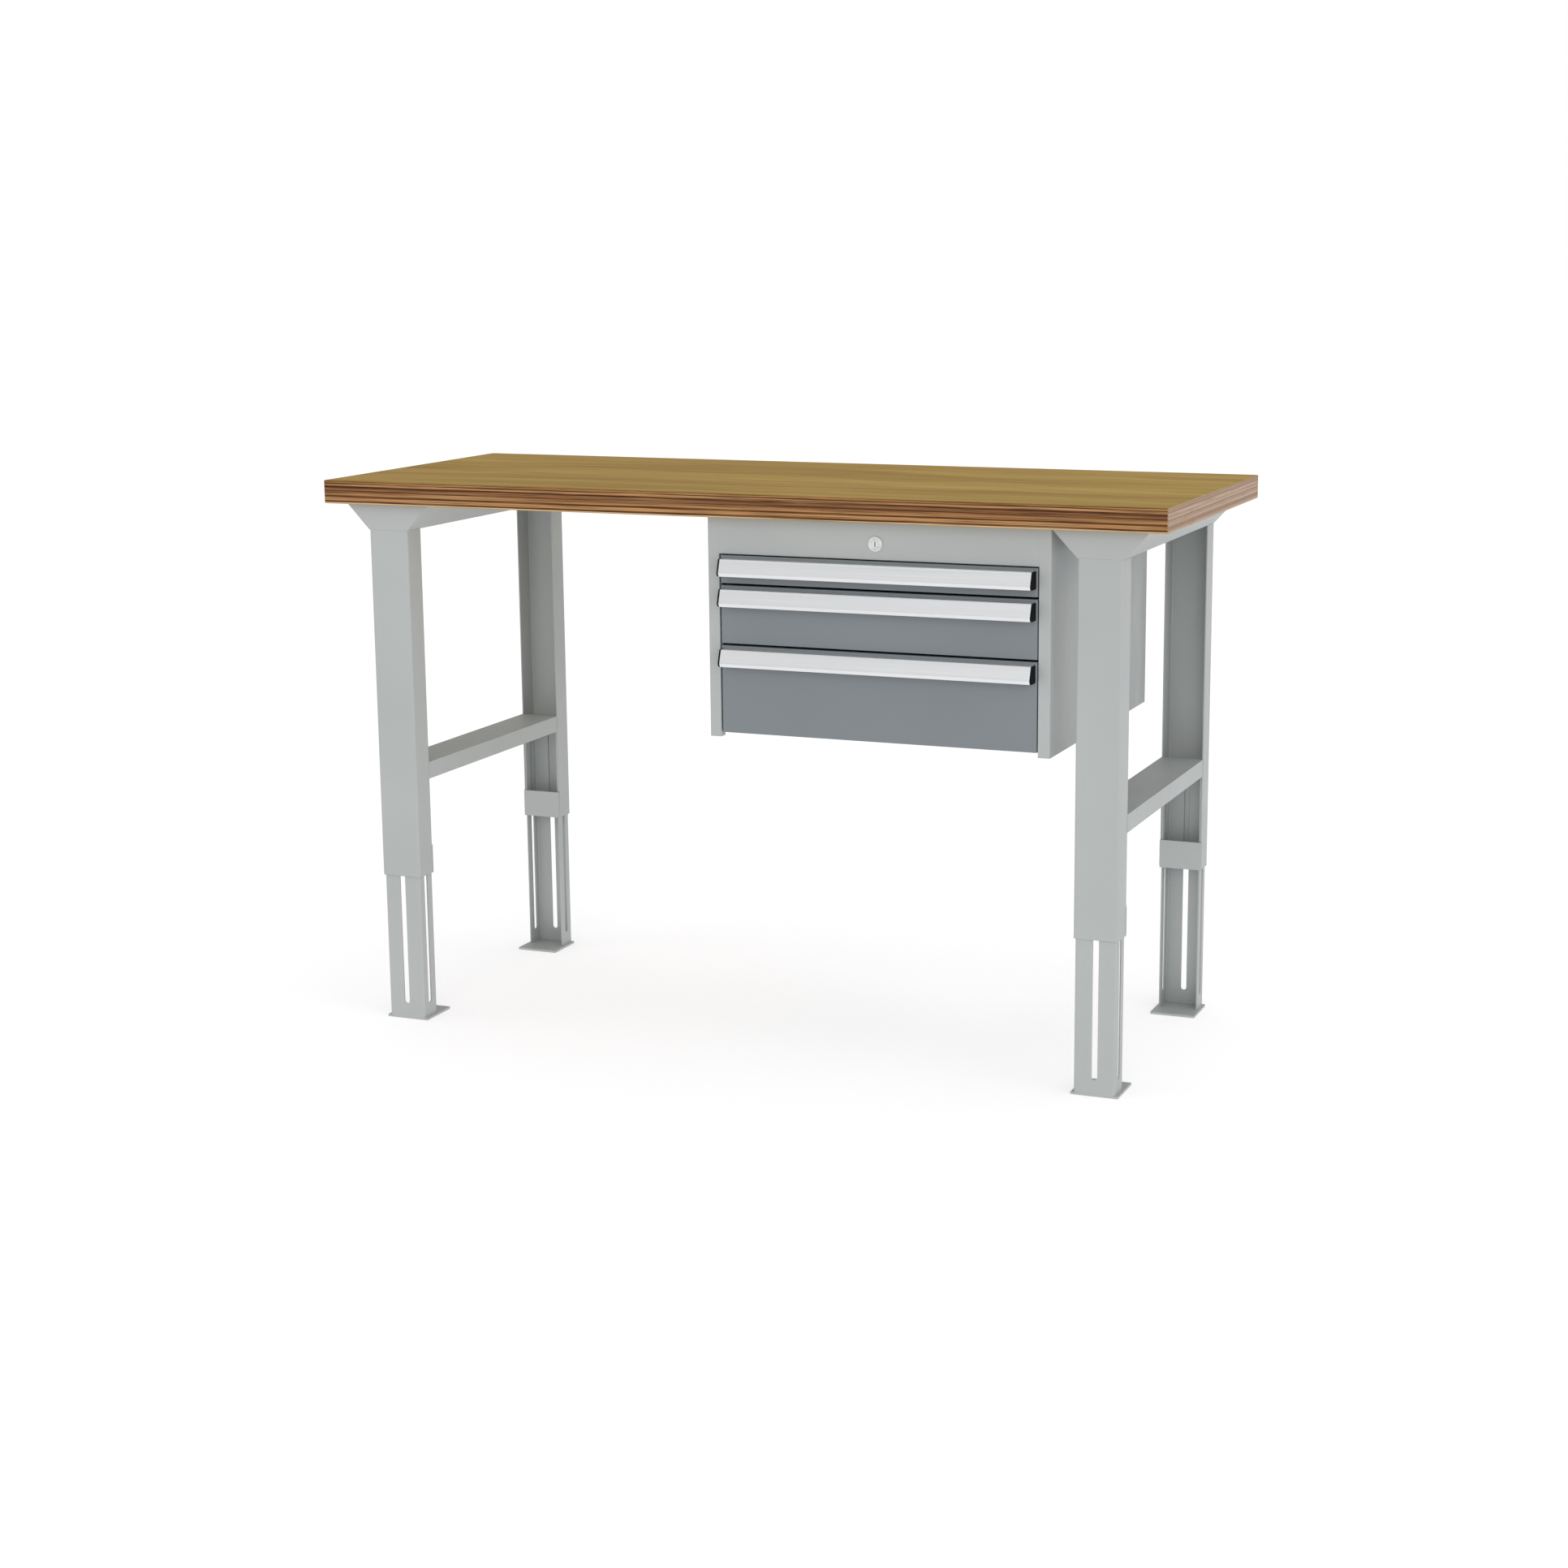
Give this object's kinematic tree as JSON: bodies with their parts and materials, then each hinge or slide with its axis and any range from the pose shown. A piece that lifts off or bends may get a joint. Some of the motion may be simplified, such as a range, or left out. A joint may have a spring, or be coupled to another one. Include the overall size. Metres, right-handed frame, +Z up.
{
  "type": "workbench with drawers",
  "caption": "Height-adjustable workbench with a plywood top on telescopic channel legs and a lockable drawer cabinet hung under one end.",
  "frame": {"origin": "centre of the footprint's bounding box, on the floor", "axes": "+X along the bench's length, to the right as seen from the drawer side; +Y from the drawer side to the rear; +Z up"},
  "size_m": [1.5, 0.6, 0.96],
  "materials": {
    "beech_plywood": "clear-lacquered beech plywood, satin",
    "light_grey_paint": "light grey powder coat, satin",
    "blue_grey_paint": "blue-grey powder coat, satin",
    "handle_aluminium": "anodised, satin",
    "cap_plastic": "moulded, fine matt",
    "zinc_plate": "bright zinc plate",
    "lock_nickel": "nickel plate, lightly brushed",
    "bumper_rubber": "black rubber, matt"
  },
  "bodies": {
    "frame": {"worktop": "beech_plywood", "left_top_rail": "light_grey_paint", "right_top_rail": "light_grey_paint", "left_front_upper_leg": "light_grey_paint", "left_rear_upper_leg": "light_grey_paint", "right_front_upper_leg": "light_grey_paint", "right_rear_upper_leg": "light_grey_paint", "left_cross_member": "light_grey_paint", "right_cross_member": "light_grey_paint", "leg_straps": "light_grey_paint", "clamp_studs": "zinc_plate", "clamp_washers": "zinc_plate", "clamp_nuts": "zinc_plate", "worktop_screws": "zinc_plate", "cabinet_left_side": "light_grey_paint", "cabinet_right_side": "light_grey_paint", "cabinet_back": "light_grey_paint", "cabinet_top": "light_grey_paint", "lock_panel": "light_grey_paint", "bottom_ties": "light_grey_paint", "left_slide_uprights": "light_grey_paint", "right_slide_uprights": "light_grey_paint", "drawer_bumpers": "bumper_rubber", "top_slide_outer": "zinc_plate", "middle_slide_outer": "zinc_plate", "bottom_slide_outer": "zinc_plate", "lock_housing": "lock_nickel", "lock_nut": "zinc_plate", "yoke_guides": "zinc_plate"},
    "left_front_leg": {"left_front_lower_leg": "light_grey_paint", "left_front_foot_plate": "light_grey_paint"},
    "left_rear_leg": {"left_rear_lower_leg": "light_grey_paint", "left_rear_foot_plate": "light_grey_paint"},
    "right_front_leg": {"right_front_lower_leg": "light_grey_paint", "right_front_foot_plate": "light_grey_paint"},
    "right_rear_leg": {"right_rear_lower_leg": "light_grey_paint", "right_rear_foot_plate": "light_grey_paint"},
    "top_drawer": {"top_drawer_tray": "light_grey_paint", "top_drawer_front": "blue_grey_paint", "top_handle": "handle_aluminium", "top_handle_caps": "cap_plastic", "top_slide_inner": "zinc_plate"},
    "top_slides": {"top_slide_middle": "zinc_plate"},
    "middle_drawer": {"middle_drawer_tray": "light_grey_paint", "middle_drawer_front": "blue_grey_paint", "middle_handle": "handle_aluminium", "middle_handle_caps": "cap_plastic", "middle_slide_inner": "zinc_plate"},
    "middle_slides": {"middle_slide_middle": "zinc_plate"},
    "bottom_drawer": {"bottom_drawer_tray": "light_grey_paint", "bottom_drawer_front": "blue_grey_paint", "bottom_handle": "handle_aluminium", "bottom_handle_caps": "cap_plastic", "bottom_slide_inner": "zinc_plate"},
    "bottom_slides": {"bottom_slide_middle": "zinc_plate"},
    "lock_cylinder": {"lock_plug": "lock_nickel", "lock_cam": "zinc_plate"},
    "yoke": {"locking_yoke": "zinc_plate"}
  },
  "joints": [
    {"name": "left_front_leg_height", "type": "slide", "parent": "frame", "child": "left_front_leg", "axis": [0, 0, 1], "range_m": [0, 0.255]},
    {"name": "left_rear_leg_height", "type": "slide", "parent": "frame", "child": "left_rear_leg", "axis": [0, 0, 1], "range_m": [0, 0.255]},
    {"name": "right_front_leg_height", "type": "slide", "parent": "frame", "child": "right_front_leg", "axis": [0, 0, 1], "range_m": [0, 0.255]},
    {"name": "right_rear_leg_height", "type": "slide", "parent": "frame", "child": "right_rear_leg", "axis": [0, 0, 1], "range_m": [0, 0.255]},
    {"name": "top_drawer_pull", "type": "slide", "parent": "frame", "child": "top_drawer", "axis": [0, -1, 0], "range_m": [0, 0.46]},
    {"name": "top_slides_follow", "type": "slide", "parent": "frame", "child": "top_slides", "axis": [0, -1, 0], "range_m": [0, 0.23]},
    {"name": "middle_drawer_pull", "type": "slide", "parent": "frame", "child": "middle_drawer", "axis": [0, -1, 0], "range_m": [0, 0.46]},
    {"name": "middle_slides_follow", "type": "slide", "parent": "frame", "child": "middle_slides", "axis": [0, -1, 0], "range_m": [0, 0.23]},
    {"name": "bottom_drawer_pull", "type": "slide", "parent": "frame", "child": "bottom_drawer", "axis": [0, -1, 0], "range_m": [0, 0.46]},
    {"name": "bottom_slides_follow", "type": "slide", "parent": "frame", "child": "bottom_slides", "axis": [0, -1, 0], "range_m": [0, 0.23]},
    {"name": "lock_turn", "type": "hinge", "parent": "frame", "child": "lock_cylinder", "pos_m": [0.2605, -0.275, 0.884], "axis": [0, 1, 0], "range_deg": [0, 90]},
    {"name": "yoke_lift", "type": "slide", "parent": "frame", "child": "yoke", "axis": [0, 0, 1], "range_m": [0, 0.009]}
  ],
  "couplings": [
    {"joint": "top_slides_follow", "follows": "top_drawer_pull", "ratio": 0.5},
    {"joint": "middle_slides_follow", "follows": "middle_drawer_pull", "ratio": 0.5},
    {"joint": "bottom_slides_follow", "follows": "bottom_drawer_pull", "ratio": 0.5},
    {"joint": "lock_turn", "follows": "yoke_lift", "rad_per_m": 174.5}
  ]
}
